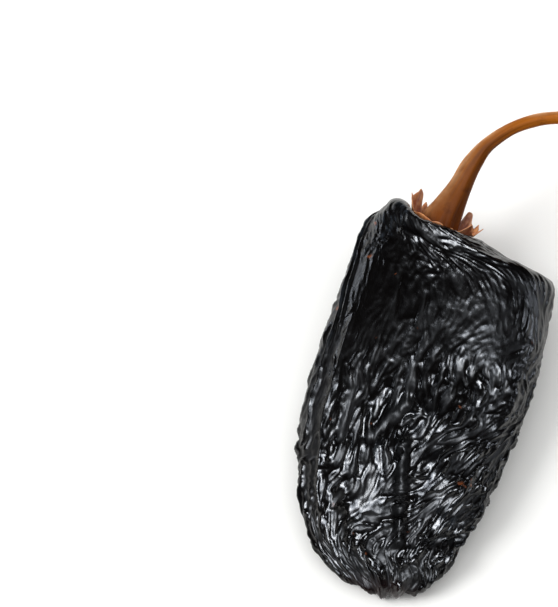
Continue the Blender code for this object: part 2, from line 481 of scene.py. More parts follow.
@dataclass(frozen=True)
class Crests:
    """One size of short crest: how far apart, how long and how high."""

    profile: Profile
    apart: float
    length: float               # as a multiple of the distance between two
    height: float
    thin: float                 # share of the height where the flesh was thin
    thick: float                # what is added to it where the flesh was thick
    steepness: float = 1.0      # of the sides

    def heights(self, draws: np.random.Generator, lean: Grid, broad: Grid, spacing: float) -> Grid:
        """Return the height of the crests at each point.

        Args:
            draws: the random source.
            lean: the angle of the wrinkles from the pod's length.
            broad: how thick the flesh was, from 0 to 1.
            spacing: distance between two points.

        Returns:
            The heights.
        """
        apart = self.apart / spacing
        crest = strokes(draws, lean, apart, self.length * apart)
        if self.profile is Profile.FLAT:
            crest = np.tanh(crest * self.steepness)
        elif self.profile is Profile.SHARP:
            crest = 1.0 - np.tanh(crest * self.steepness)
        return crest * (self.thin + self.thick * broad) * self.height


@dataclass(frozen=True)
class Ways:
    """Which way the wrinkles run and how strong they are.

    Angles are from the pod's length, and pairs say between which shares of the way from the tip
    to the seat a change comes, or between which values of the upward normal.
    """

    lean: float = radians(-28)
    belly_turn: float = radians(14)
    belly: tuple[float, float] = (0.35, 0.60)
    shoulder_turn: float = radians(60)
    shoulder: tuple[float, float] = (0.74, 0.86)
    wide_sway: float = radians(14)
    close_sway: float = radians(15)
    patch: float = 14.0 * MM            # size of the patches of the wide sway
    close_patch: float = 4.0 * MM       # size of those of the close one
    strong_patch: float = 14.0 / 3 * MM     # size of the stronger and weaker patches
    strength: float = 0.95
    patch_strength: float = 0.22
    weakest: float = 0.4
    strongest: float = 1.4
    smoothest: float = 0.95             # the most that folds take away
    taut: tuple[float, float] = (0.42, 0.70)    # the skin is tauter above this
    taut_share: float = 0.35
    taut_upper_share: float = 0.40      # added to it on the upper side
    upper: tuple[float, float] = (0.1, 0.6)
    rib_share: float = 0.5              # what ribs take away
    tip_fade: tuple[float, float] = (0.0, 0.12)
    seat_fade: tuple[float, float] = (0.885, 0.925)


@dataclass
class Pod:
    """The pod: a hollow fruit that has dried flat, its skin drawn into lengthwise folds."""

    seat: Seat
    rows: int = 340
    columns: int = 288
    ring_samples: int = 400
    top_share: float = 0.62         # share of the columns that lies on the upper side
    top_blend: float = 0.05         # share of a ring over which their spacing changes
    cap_reach: float = 13.0 * MM    # how far inside its ends the rays of the two caps start
    cap_share: int = 5              # one ray row in so many belongs to a cap
    tip_height: float = 0.16        # of the middle of the tip, as a share of the pod's height
    tip_dip: float = radians(38)    # how far below level the grid's first pole looks
    relax_rounds: int = 60
    even_rounds: int = 6
    least_gap: float = 0.02 * MM
    spacing: float = 0.40 * MM      # mean distance of two neighbouring points
    thick: Fold = Fold((4.0, -22.0), (2.0, -46.0), 16.0)    # where the flesh was thick
    tip_reach: float = 9.0 * MM     # how far up the pod the lumps of its tip go
    tip_lump: float = 0.6 * MM
    tip_blobs: tuple[int, int] = (9, 12)            # size of those lumps, in grid steps
    crumple: float = 0.06 * MM
    crumple_blobs: tuple[int, int] = (4, 7)         # size of two layers of crumple, in grid steps
    settle: float = 0.60 * MM       # mean height of the crests, taken off so that they lie about the flesh
    thick_settle: float = 0.70 * MM         # added to it where the flesh was thick
    rest_reach: float = 0.4 * MM    # what hangs lower than this is pressed flat on the surface
    rib_sway: float = 0.35 * MM
    rib_sway_rows: int = 16
    full_relief: float = 2.0 * MM   # from the deepest furrow to the highest crest that is told apart
    wax_and_sheen_crest: float = 0.35 * MM  # only crests this high carry the wax dust and painted sheen
    wax_and_sheen_share: float = 0.3
    wax_and_sheen_ribs: float = 0.3         # how much wax dust and painted sheen ribs carry, beside the listed patches
    wax_and_sheen_most: float = 1.8
    wax_and_sheen_blobs: tuple[int, int] = (7, 4)
    wax_and_sheen_edge: float = 0.7         # half width of the edges between wax dust with painted sheen and clean skin
    upper_side: tuple[float, float] = (-0.1, 0.4)   # upward normals between which folds fade in
    flank: tuple[float, float] = (-0.1, 0.55)       # upward normals between which the flank ends
    glossy_end: tuple[float, float] = (-8.0 * MM, 22.0 * MM)    # y between which the gloss changes
    red_tip: float = 2.0 * MM
    seed: int = 41
    ways: Ways = Ways()
    dryings: tuple[Drying, ...] = (
        Drying(stride=4, rounds=160, across=1.10, along=1.03, bending=0.20, hold=0.001,
               outward_hold=0.004, widest=14, seed=11),
        Drying(stride=2, rounds=120, across=1.16, along=1.05, bending=0.10, hold=0.002,
               outward_hold=0.008, widest=10, seed=12, unevenness=0.15),
    )
    last_drying: Drying = Drying(stride=1, rounds=50, across=1.09, along=1.05, bending=0.06,
                                 hold=0.004, outward_hold=0.010, widest=8, seed=13)
    crests: tuple[Crests, ...] = (
        Crests(Profile.FLAT, 3.8 * MM, 2.8, 0.85 * MM, 0.30, 1.0, steepness=1.3),
        Crests(Profile.ROUND, 1.4 * MM, 3.2, 0.30 * MM, 1.0, -0.85),
        Crests(Profile.SHARP, 2.3 * MM, 2.6, 1.2 * MM, 0.35, 0.75, steepness=1.1),
    )
    folds: tuple[Fold, ...] = (
        Fold((-2.5, -24.0), (1.2, -48.0), 1.5, height=-2.2),
        Fold((-10.0, -24.0), (-3.0, -14.0), 2.2, height=-1.4),
        Fold((0.0, 24.0), (6.0, -2.0), 12.0, height=-2.6),
        Fold((-8.5, -31.0), (-8.0, -40.0), 3.2, height=0.5, smooth=0.6),
        Fold((6.0, -29.5), (14.0, -33.5), 3.4, height=1.3),
        Fold((7.0, -34.0), (14.0, -38.0), 3.0, smooth=0.6),
        Fold((1.5, -15.0), (5.5, -17.0), 3.2, height=1.2),
        Fold((1.5, -19.5), (4.0, -23.0), 2.6, smooth=0.65),
        Fold((-15.0, -38.0), (-12.0, -44.0), 2.6, height=0.7, smooth=0.4),
        Fold((9.0, -46.5), (19.0, -43.0), 2.0, height=-1.6),
        Fold((21.0, -14.0), (24.0, -4.0), 2.2, height=0.5, smooth=0.5),
        Fold((-14.5, 45.0), (-17.0, 41.0), 4.5, height=1.6, smooth=0.4),
        Fold((20.0, 34.0), (29.0, 33.0), 3.5, height=1.0),
        Fold((-20.0, 22.0), (-20.0, -14.0), 8.0, smooth=0.45),
        Fold((-12.0, 35.0), (-8.5, 33.5), 1.3, height=0.9, smooth=0.9),
        Fold((4.0, 18.0), (18.0, 8.0), 7.0, smooth=0.5),
    )
    wax_and_sheen_patches: tuple[Fold, ...] = (        # places of wax dust and painted sheen, and in smooth how much they carry
        Fold((-13.0, 47.0), (-18.0, 34.0), 4.0, smooth=1.6),
        Fold((-8.5, -30.0), (-8.0, -40.0), 3.2, smooth=0.45),
        Fold((1.5, -17.5), (4.0, -24.0), 2.4, smooth=0.45),
        Fold((8.0, -34.0), (13.0, -40.0), 3.0, smooth=0.3),
    )
    ribs: tuple[Rib, ...] = (           # the first two carry wax dust and painted sheen
        Rib(2.6, 0.34, 0.86, 0.55, 0.75),
        Rib(4.6, 0.50, 0.84, 0.50, 0.60),
        Rib(3.6, 0.50, 0.84, 0.45, -0.40),
        Rib(8.5, 0.20, 0.60, 0.60, 0.35),
    )

    def rays(self) -> tuple[Grid, Grid]:
        """Return origins and directions of rays that meet the whole skin, tip to seat."""
        low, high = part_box("pod")
        right, down, out = self.seat.axes()
        tip = Vector((0.0, low.y + self.cap_reach, (low.z + high.z) * self.tip_height))
        level = Vector((0.0, cos(self.tip_dip), sin(self.tip_dip)))
        end = self.seat.floor() - out * self.cap_reach
        rows, columns = 3 * self.rows, 4 * self.columns
        cap = rows // self.cap_share
        angle = np.linspace(0.0, 2 * pi, columns, endpoint=False)
        origins, directions = [], []
        for row in range(rows):
            if row < cap:
                share, rise = 0.0, (row / cap - 1) * pi / 2
            elif row >= rows - cap:
                share, rise = 1.0, ((row - rows + cap + 1) / cap) * pi / 2
            else:
                share, rise = (row - cap) / (rows - 2 * cap - 1), 0.0
            axis = level.lerp(out, share ** 2).normalized()
            side = Vector((1, 0, 0)).lerp(right, share ** 2)
            side = (side - axis * side.dot(axis)).normalized()
            under = axis.cross(side)
            spin = np.outer(np.cos(angle), side) + np.outer(np.sin(angle), under)
            directions.append(spin * cos(rise) + np.array(axis) * sin(rise))
            origins.append(np.tile(np.array(tip.lerp(end, share)), (columns, 1)))
        return np.array(origins), np.array(directions)

    def shell(self) -> Grid:
        """Return the CAD pod's surface as an even grid of points, tip first and seat last."""
        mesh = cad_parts["pod"].data
        tree = BVHTree.FromPolygons([v.co for v in mesh.vertices], [p.vertices[:] for p in mesh.polygons])
        origins, directions = self.rays()
        hits = np.empty_like(origins)
        for row in range(origins.shape[0]):
            for column in range(origins.shape[1]):
                start, way = Vector(origins[row, column]), Vector(directions[row, column])
                hit = tree.ray_cast(start, way)[0]
                hits[row, column] = hit if hit else hits[row, column - 1]
        return self.relaxed(self.evened(hits), tree)

    def relaxed(self, grid: Grid, tree: BVHTree) -> Grid:
        """Slide the points along the surface until their rows and columns run smoothly.

        Args:
            grid: the points.
            tree: the surface that they stay on.

        Returns:
            The points after sliding.
        """
        sheet = SkinSheet(grid)
        for _ in range(self.relax_rounds):
            mean = sheet.mean_of_neighbours(grid)
            mean[1:-1] = 0.5 * mean[1:-1] + 0.125 * (
                np.roll(grid, 1, 1)[2:] + np.roll(grid, -1, 1)[2:]
                + np.roll(grid, 1, 1)[:-2] + np.roll(grid, -1, 1)[:-2])
            grid = mean
        flat = [tree.find_nearest(Vector(point))[0] for point in grid.reshape(-1, 3)]
        return np.array(flat).reshape(grid.shape)

    def evened(self, hits: Grid) -> Grid:
        """Space the points evenly: round each ring, with more on the upper side, and along."""
        around = np.empty((hits.shape[0], self.columns, 3))
        ring_share = np.linspace(0, 1, self.ring_samples)
        side = self.top_blend
        begun = smooth_step(0.5 - side, 0.5 + side, ring_share)
        upper = begun * (1 - smooth_step(1 - side, 1 + side, ring_share))
        upper = upper + 1 - smooth_step(-side, side, ring_share)
        density = 2 * (1 - self.top_share) * (1 - upper) + 2 * self.top_share * upper
        filled = np.concatenate([[0.0], np.cumsum(density[:-1])])
        wanted = (np.arange(self.columns) + 0.5) / self.columns * filled[-1]
        share = np.interp(wanted, filled, ring_share)
        for row, ring in enumerate(hits):
            closed = np.vstack([ring, ring[:1]])
            length = np.concatenate([[0.0], np.cumsum(np.linalg.norm(np.diff(closed, axis=0), axis=1))])
            place = share * length[-1]
            around[row] = np.stack([np.interp(place, length, closed[:, k]) for k in range(3)], -1)
        gaps = np.linalg.norm(np.diff(around, axis=0), axis=-1).mean(1)
        gaps = np.maximum(gaps, self.least_gap)
        length = np.concatenate([[0.0], np.cumsum(gaps)])
        wanted = np.linspace(0.0, length[-1], self.rows + 1)
        grid = np.empty((self.rows + 1, self.columns, 3))
        for column in range(self.columns):
            for k in range(3):
                grid[:, column, k] = np.interp(wanted, length, around[:, column, k])
        grid[0] = grid[0].mean(0)
        grid[-1] = grid[-1].mean(0)
        return grid

    def build(self) -> bpy.types.Object:
        """Make the skin, wrinkle it and return the piece."""
        sheet = SkinSheet(self.shell())
        for _ in range(self.even_rounds):
            sheet.points[1:-1] = sheet.mean_of_neighbours(sheet.points)[1:-1]
        flesh = self.sunken(sheet.points)
        lean, amount = self.wrinkle_ways(flesh)
        skin = flesh
        for drying in self.dryings:
            skin = self.wrinkled(skin, drying, lean, amount)
        skin = self.crinkled(skin, lean, amount)
        skin = self.wrinkled(skin, self.last_drying, lean, amount)
        pressed = self.rest_reach * np.exp(skin[..., 2] / self.rest_reach - 1)
        skin[..., 2] = np.where(skin[..., 2] < self.rest_reach, pressed, skin[..., 2])
        piece = ringed_form("pod_skin", skin)
        self.paint(piece, skin, flesh)
        forget_order(piece)
        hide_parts("pod")
        return piece

    def paint(self, piece: bpy.types.Object, skin: Grid, flesh: Grid) -> None:
        """Store what the finish reads: height, which also paints shade into the furrows, wax dust with
        painted sheen, flank, gloss and the thin tip.

        Args:
            piece: the piece.
            skin: its points.
            flesh: the same points before the skin wrinkled.
        """
        normal = SkinSheet(flesh).normals(flesh)
        depth = np.sum((skin - flesh) * normal, axis=-1)
        past_tip = (flesh[..., 1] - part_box("pod")[0].y) / self.red_tip
        paint_attribute(piece, "relief", np.clip(depth / self.full_relief + 0.5, 0, 1))
        # wax dust on the higher crests, which also paints a blue-grey sheen there
        paint_attribute(piece, "wax_and_sheen", smooth_step(0.0, self.wax_and_sheen_crest, depth) * self.wax_and_sheen_on(flesh))
        paint_attribute(piece, "flank", 1 - smooth_step(*self.flank, normal[..., 2]))
        paint_attribute(piece, "gloss", 1 - smooth_step(*self.glossy_end, flesh[..., 1]))
        paint_attribute(piece, "tip", np.exp(-past_tip ** 2))

    def sunken(self, flesh: Grid) -> Grid:
        """Press the large folds and hollows into the upper side."""
        normal = SkinSheet(flesh).normals(flesh)
        upper = smooth_step(*self.upper_side, normal[..., 2])
        height = sum(fold.height * fold.weight(flesh) for fold in self.folds)
        weights = self.rib_weights(flesh.shape[:2])
        ribbed = sum(rib.height * weight for rib, weight in zip(self.ribs, weights))
        return flesh + normal * ((height * upper + ribbed) * MM)[..., None]

    def rib_weights(self, shape: tuple[int, int]) -> list[Grid]:
        """Return the weight of each rib, which sways a little on its way."""
        rows = np.linspace(0, 1, shape[0])[:, None]
        draws = np.random.default_rng(self.seed + 2)
        sway = soft_noise(draws, (shape[0], 8), (self.rib_sway_rows, 1))[:, :1]
        left = (1 - self.top_share) * shape[1]
        columns = np.arange(shape[1])[None, :] - left + sway * self.rib_sway / self.spacing
        return [rib.weight(columns, rows, self.spacing) for rib in self.ribs]

    def wax_and_sheen_on(self, flesh: Grid) -> Grid:
        """Return how much wax dust, which also stands in for painted sheen, lies on each point."""
        weight = sum(wax_and_sheen.smooth * wax_and_sheen.weight(flesh) for wax_and_sheen in self.wax_and_sheen_patches)
        ribs = sum(self.rib_weights(flesh.shape[:2])[:2])
        draws = np.random.default_rng(self.seed + 3)
        blobs = soft_noise(draws, flesh.shape[:2], self.wax_and_sheen_blobs)
        patchy = smooth_step(-self.wax_and_sheen_edge, self.wax_and_sheen_edge, blobs)
        return self.wax_and_sheen_share * np.clip(weight + self.wax_and_sheen_ribs * ribs, 0, self.wax_and_sheen_most) * patchy

    def wrinkle_ways(self, flesh: Grid) -> tuple[Grid, Grid]:
        """Return the angle of the wrinkles from the pod's length, and how strong they are."""
        ways = self.ways
        draws = np.random.default_rng(self.seed)
        shape = flesh.shape[:2]
        rows = np.linspace(0, 1, shape[0])[:, None]
        normal = SkinSheet(flesh).normals(flesh)
        wide, close, strong = (soft_noise(draws, shape, (size / self.spacing,) * 2)
                               for size in (ways.patch, ways.close_patch, ways.strong_patch))
        lean = (ways.lean + ways.wide_sway * wide + ways.close_sway * close
                + ways.belly_turn * smooth_step(*ways.belly, rows)
                + ways.shoulder_turn * smooth_step(*ways.shoulder, rows))
        upper = smooth_step(*ways.upper, normal[..., 2])
        taut = (ways.taut_share + ways.taut_upper_share * upper) * smooth_step(*ways.taut, rows)
        smoothed = sum(fold.smooth * fold.weight(flesh) for fold in self.folds) * (normal[..., 2] > 0)
        amount = (ways.strength + ways.patch_strength * strong) * (1 - taut)
        amount = np.clip(amount, ways.weakest, ways.strongest) * (1 - np.clip(smoothed, 0, ways.smoothest))
        amount = amount * (1 - ways.rib_share * np.clip(sum(self.rib_weights(shape)), 0, 1))
        return lean, amount * smooth_step(*ways.tip_fade, rows) * (1 - smooth_step(*ways.seat_fade, rows))

    def crinkled(self, skin: Grid, lean: Grid, amount: Grid) -> Grid:
        """Add the short crests: broad ones where the flesh was thick, fine ones all over."""
        draws = np.random.default_rng(self.seed + 1)
        normal = SkinSheet(skin).normals(skin)
        broad = self.thick.weight(skin)
        height = sum(crests.heights(draws, lean, broad, self.spacing) for crests in self.crests) * amount
        crumple = sum(np.abs(soft_noise(draws, lean.shape, (size, size))) for size in self.crumple_blobs)
        settled = (self.settle + self.thick_settle * broad) * amount
        height = height + crumple * self.crumple * np.sqrt(amount) - settled
        lumps = soft_noise(draws, lean.shape, self.tip_blobs)
        tip = np.exp(-((skin[..., 1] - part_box("pod")[0].y) / self.tip_reach) ** 2)
        return skin + normal * (height + lumps * tip * self.tip_lump)[..., None]

    def wrinkled(self, fine: Grid, drying: Drying, lean: Grid, amount: Grid) -> Grid:
        """Wrinkle the skin on a coarser grid and add the result to the fine one.

        Args:
            fine: the skin so far.
            drying: the round of drying.
            lean: the angle of the wrinkles from the pod's length.
            amount: how strong they are.

        Returns:
            The wrinkled skin.
        """
        stride = drying.stride
        flesh = fine[::stride, ::stride]
        sheet = SkinSheet(flesh.copy())
        along = unit(np.gradient(flesh, axis=0))
        normal = sheet.normals(flesh)
        angle = lean[::stride, ::stride, None]
        direction = along * np.cos(angle) + np.cross(normal, along) * np.sin(angle)
        sheet.dry(drying, direction, amount[::stride, ::stride])
        return fine + self.spread(sheet.points - flesh, stride, fine.shape[:2])

    @staticmethod
    def spread(shift: Grid, stride: int, shape: tuple[int, int]) -> Grid:
        """Bring a coarse grid of shifts to the fine grid, halving its spacing with a smooth curve."""
        while stride > 1:
            right, left, far = np.roll(shift, -1, 1), np.roll(shift, 1, 1), np.roll(shift, -2, 1)
            between = (9 * (shift + right) - left - far) / 16
            wide = np.stack([shift, between], 2).reshape(shift.shape[0], -1, 3)
            padded = np.vstack([wide[:1], wide, wide[-1:]])
            between = (9 * (padded[1:-2] + padded[2:-1]) - padded[:-3] - padded[3:]) / 16
            tall = np.empty((2 * wide.shape[0] - 1, wide.shape[1], 3))
            tall[::2] = wide
            tall[1::2] = between
            shift = tall
            stride //= 2
        return shift[:shape[0], :shape[1]]


# ---------------------------------------------------------------- calyx


@dataclass(frozen=True)
class Tooth:
    """One tooth of the calyx's edge: where it points, how far it reaches and how high it curls."""

    angle: float
    reach: float
    rise: float
    width: float
    point: float = 1.4          # low is a sharp point, high a round lobe

    def weight(self, angles: Grid) -> Grid:
        """Return 1 at the tooth's tip, falling to 0 at its sides."""
        away = np.abs((angles - self.angle + pi) % (2 * pi) - pi)
        return np.exp(-(away / self.width) ** self.point)


@dataclass
class Calyx:
    """The calyx: a papery brown cup in the pod's seat, its edge curled up into ragged teeth.

    Angles run from the seat's right towards the pod's underside.
    """

    seat: Seat
    columns: int = 360
    rows: int = 64
    foot: float = 6.45 * MM         # radius of its flat middle
    floor_height: float = -3.75 * MM
    edge: float = 9.7 * MM
    near_reach: float = -0.6 * MM   # added to the edge at the seat's upper rim, where it draws back
    near_turn: float = radians(10)      # where that rim is, from straight up
    near_edge: tuple[float, float] = (0.2, 0.7)
    wall_slope: float = 1.125       # the seat's wall
    edge_thickness: float = 0.22 * MM
    middle_thickness: float = 0.8 * MM
    thinning: tuple[float, float] = (0.5, 0.9)      # shares of the way out, as in those below
    outer: tuple[float, float] = (0.55, 1.0)        # where it ruffles and sways
    rising: tuple[float, float] = (0.66, 1.02)      # where the teeth rise
    curling: tuple[float, float] = (0.8, 1.0)
    veined: tuple[float, float] = (0.56, 0.72)      # outside the stem's foot
    ragged: float = 0.22 * MM
    ragged_calm: float = 0.6            # how much calmer the edge is at the upper rim
    ruffles: tuple[tuple[float, float, float], ...] = ((14, 10, 0.55 * MM), (6, 5, 0.28 * MM))
    ruffle_calm: float = 0.75
    vein: float = 0.16 * MM
    vein_blob: tuple[int, int] = (60, 7)        # rows and columns, as in the next one
    sway_blob: tuple[int, int] = (20, 24)
    curl: float = 0.10                  # share of its reach that a high tooth leans in
    high_tooth: float = 5.0 * MM
    sway: float = radians(4)
    teeth: tuple[Tooth, ...] = (
        Tooth(radians(168), 10.2 * MM, 4.6 * MM, radians(17), 3.0),
        Tooth(radians(198), 11.6 * MM, 1.6 * MM, radians(13), 2.4),
        Tooth(radians(56), 9.8 * MM, 5.4 * MM, radians(14), 2.0),
        Tooth(radians(26), 10.4 * MM, 2.6 * MM, radians(12), 2.0),
        Tooth(radians(-4), 10.9 * MM, 1.5 * MM, radians(9), 1.8),
        Tooth(radians(-32), 10.4 * MM, 1.3 * MM, radians(7), 1.8),
        Tooth(radians(-72), 9.4 * MM, 0.5 * MM, radians(5)),
        Tooth(radians(112), 10.8 * MM, 4.2 * MM, radians(15)),
        Tooth(radians(140), 10.8 * MM, 2.2 * MM, radians(7)),
    )
    seed: int = 21

    def leaf(self) -> tuple[Grid, Grid]:
        """Return the middle of the calyx's wall, and how near its edge each point lies."""
        draws = np.random.default_rng(self.seed)
        shape = (self.rows, self.columns)
        angle = np.linspace(0, 2 * pi, self.columns, endpoint=False)[None, :]
        share = np.linspace(0, 1, self.rows)[:, None]
        weights = [tooth.weight(angle) for tooth in self.teeth]
        near = smooth_step(*self.near_edge, -np.sin(angle + self.near_turn))
        ragged = soft_noise(draws, (1, self.columns), (1, 5)) * self.ragged * (1 - self.ragged_calm * near)
        reach = self.edge + near * self.near_reach + ragged + sum(
            (tooth.reach - self.edge) * weight for tooth, weight in zip(self.teeth, weights))
        rise = sum(tooth.rise * weight for tooth, weight in zip(self.teeth, weights))
        radius = share * reach
        outer = smooth_step(*self.outer, share)
        ruffle = sum(soft_noise(draws, shape, blob) * high for *blob, high in self.ruffles)
        height = self.floor_height + np.maximum(radius - self.foot, 0.0) * self.wall_slope
        height = height + rise * smooth_step(*self.rising, share)
        height = height + ruffle * outer * (1 - self.ruffle_calm * near)
        veins = soft_noise(draws, shape, self.vein_blob) * self.vein * smooth_step(*self.veined, share)
        curl = 1.0 - self.curl * smooth_step(*self.curling, share) * np.clip(rise / self.high_tooth, 0, 1)
        sway = angle + soft_noise(draws, shape, self.sway_blob) * self.sway * outer
        return self.seat.place(radius * curl * np.cos(sway), radius * curl * np.sin(sway),
                               height + veins), share + 0 * angle

    def build(self) -> bpy.types.Object:
        """Make the calyx and return the piece."""
        leaf, share = self.leaf()
        around = np.roll(leaf, -1, 1) - np.roll(leaf, 1, 1)
        normal = unit(np.cross(around, np.gradient(leaf, axis=0)))
        out = np.array(self.seat.axes()[2])
        normal *= np.where(dot(normal, out) < 0, -1.0, 1.0)
        normal[:2] = out
        half = (self.middle_thickness + (self.edge_thickness - self.middle_thickness)
                * smooth_step(*self.thinning, share))[..., None] / 2
        places = np.vstack([leaf - normal * half, (leaf + normal * half)[::-1]])
        places[0], places[-1] = places[0].mean(0), places[-1].mean(0)
        piece = ringed_form("papery_calyx", places)
        paint_attribute(piece, "edge", np.vstack([share, share[::-1]]))
        forget_order(piece)
        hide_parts("calyx")
        return piece


# ---------------------------------------------------------------- stem


@dataclass
class Stem:
    """The stem: a woody stalk, fluted at its foot, that swells again at its cut end."""

    seat: Seat
    columns: int = 96
    rows: int = 460
    curve_steps: int = 40               # points between two points of the route
    foot_radius: float = 5.3 * MM
    foot_height: float = -3.0 * MM      # from the rim of the seat
    run_in: float = 1.2 * MM
    route: tuple[tuple[float, float, float, float], ...] = (
        (0.6 * MM, 2.0 * MM, 1.0 * MM, 4.75 * MM), (3.2 * MM, 8.9 * MM, 4.0 * MM, 3.35 * MM),
        (5.8 * MM, 15.6 * MM, 7.4 * MM, 2.6 * MM), (9.5 * MM, 21.4 * MM, 10.3 * MM, 1.9 * MM),
        (17.3 * MM, 27.6 * MM, 12.7 * MM, 1.75 * MM), (27.6 * MM, 31.6 * MM, 13.1 * MM, 1.75 * MM),
        (38.2 * MM, 33.0 * MM, 11.7 * MM, 2.0 * MM), (44.8 * MM, 32.2 * MM, 9.6 * MM, 2.25 * MM),
        (49.8 * MM, 30.4 * MM, 7.4 * MM, 2.6 * MM),
    )
    ribs: int = 11
    rib_height: float = 0.30 * MM
    rib_fade: float = 4.5 * MM
    end_round: float = 1.2 * MM         # over which the cut end rounds off
    end_draw: float = 0.55              # how far it draws in
    pith_radius: float = 0.45           # share of the cut end that is sunken pith
    pith_edge: tuple[float, float] = (0.20, -0.25)      # from that share, where it starts and ends to sink
    pith_depth: float = 0.55 * MM
    pith_rough: float = 0.10 * MM
    pole_depth: float = 0.5 * MM
    cap_rings: tuple[float, ...] = (0.85, 0.7, 0.55, 0.42, 0.3, 0.18, 0.08)
    fibres: tuple[tuple[float, float, float], ...] = (      # each as rows, columns and height
        (46, 2.6, 0.6), (90, 6, 0.7))
    swell_blob: int = 30
    drift_blob: tuple[int, int] = (60, 40)
    drift: float = 0.25                 # in radians, how far its ribs wander
    swelling: float = 0.035             # as a share of the radius, as the next one
    fibre_swelling: float = 0.03
    fibre_height: float = 0.03 * MM
    lit_mask_reach: float = 9.0 * MM         # how far up the painted light on the lit side reaches full strength
    fibre_contrast: float = 0.25
    lit_mask_mean: float = 0.75
    lit_mask_patches: float = 0.3
    lit_side_width: float = 0.95          # in radians, round the lit side that is painted paler as painted light
    seed: int = 31

    def line(self) -> tuple[Grid, Grid, Grid]:
        """Return evenly spaced points of the middle line, their radii and their way along it."""
        rim = self.seat.floor() + self.seat.axes()[2] * self.seat.depth
        out = self.seat.axes()[2]
        foot = rim + out * self.foot_height
        knots = [(*foot, self.foot_radius), (*(foot + out * self.run_in), self.foot_radius)]
        knots += [(rim.x + x, rim.y + y, rim.z + z, radius) for x, y, z, radius in self.route]
        knots = np.array([knots[0], *knots, 2 * np.array(knots[-1]) - np.array(knots[-2])])
        share = np.linspace(0, 1, self.curve_steps, endpoint=False)[:, None]
        runs = []
        for a, b, c, d in zip(knots, knots[1:], knots[2:], knots[3:]):
            runs.append(0.5 * (2 * b + (c - a) * share + (2 * a - 5 * b + 4 * c - d) * share ** 2
                               + (3 * b - a - 3 * c + d) * share ** 3))
        dense = np.vstack([*runs, knots[-2:-1]])
        length = np.concatenate([[0], np.cumsum(np.linalg.norm(np.diff(dense[:, :3], axis=0), axis=1))])
        wanted = np.linspace(0, length[-1], self.rows - 1)
        even = np.stack([np.interp(wanted, length, dense[:, k]) for k in range(4)], -1)
        return even[:, :3], even[:, 3], wanted

    def build(self) -> bpy.types.Object:
        """Make the stem and return the piece."""
        middle, radius, along = self.line()
        ahead = unit(np.gradient(middle, axis=0))
        side = np.empty_like(middle)
        side[0] = np.array(self.seat.axes()[0])
        for row in range(1, len(middle)):
            side[row] = unit(side[row - 1] - ahead[row] * np.dot(side[row - 1], ahead[row]))
        under = np.cross(ahead, side)
        draws = np.random.default_rng(self.seed)
        shape = (len(middle), self.columns)
        angle = np.linspace(0, 2 * pi, self.columns, endpoint=False)[None, :]
        fibre = sum(soft_noise(draws, shape, blob) * high for *blob, high in self.fibres)
        swell = soft_noise(draws, shape, (self.swell_blob, self.swell_blob))
        foot = np.exp(-along / self.rib_fade)[:, None]
        drift = soft_noise(draws, shape, self.drift_blob) * self.drift
        rib = np.cos(self.ribs * (angle + drift)) ** 3
        radii = radius[:, None] * (1 + self.swelling * swell + self.fibre_swelling * fibre)
        radii = radii + rib * foot * self.rib_height + fibre * self.fibre_height
        left = (along[-1] - along)[:, None]
        radii = radii * np.sqrt(1 - (1 - np.clip(left / self.end_round, 0, 1)) ** 2 * self.end_draw)
        spin = np.cos(angle)[..., None] * side[:, None] + np.sin(angle)[..., None] * under[:, None]
        places = middle[:, None] + spin * radii[..., None]
        last = places[-1]
        core = last.mean(0)
        caps = []
        starts, ends = (self.pith_radius + edge for edge in self.pith_edge)
        for share in self.cap_rings:
            sunk = self.pith_depth * smooth_step(starts, ends, np.array(share))
            rough = soft_noise(draws, (1, self.columns), (1, 2))[0][:, None] * self.pith_rough * share
            caps.append(core + (last - core) * share + ahead[-1] * (rough - sunk))
        base = places[0].mean(0)
        bottom = [base + (places[0] - base) * share for share in (0.0, 0.5)]
        pole = core - ahead[-1] * self.pole_depth + 0 * places[:1]
        places = np.concatenate([np.array(bottom), places, np.array(caps), pole])
        plain = np.zeros((len(caps) + 1, self.columns))
        fibre = np.vstack([fibre[:1], fibre[:1], fibre, plain])
        way = np.concatenate([[0, 0], along / along[-1], np.ones(len(caps) + 1)])[:, None] + 0 * angle
        cut = np.concatenate([np.zeros(2 + len(along)), np.ones(len(caps) + 1)])[:, None] + 0 * angle
        piece = ringed_form("woody_stem", places)
        paint_attribute(piece, "fibre", np.clip(fibre * self.fibre_contrast + 0.5, 0, 1))
        paint_attribute(piece, "way", way)
        # painted light: the side that faces the lamps is made paler
        painted_lit_side = np.exp(-((angle - pi) / self.lit_side_width) ** 2)
        painted_lit_mask = painted_lit_side * smooth_step(0, self.lit_mask_reach, along)[:, None]
        painted_lit_mask = painted_lit_mask * np.clip(self.lit_mask_mean + self.lit_mask_patches * swell, 0, 1)
        paint_attribute(piece, "painted_lit_mask", np.vstack([painted_lit_mask[:1], painted_lit_mask[:1], painted_lit_mask, plain]))
        paint_attribute(piece, "cut", cut)
        forget_order(piece)
        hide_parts("stem")
        return piece


# ---------------------------------------------------------------- finishes


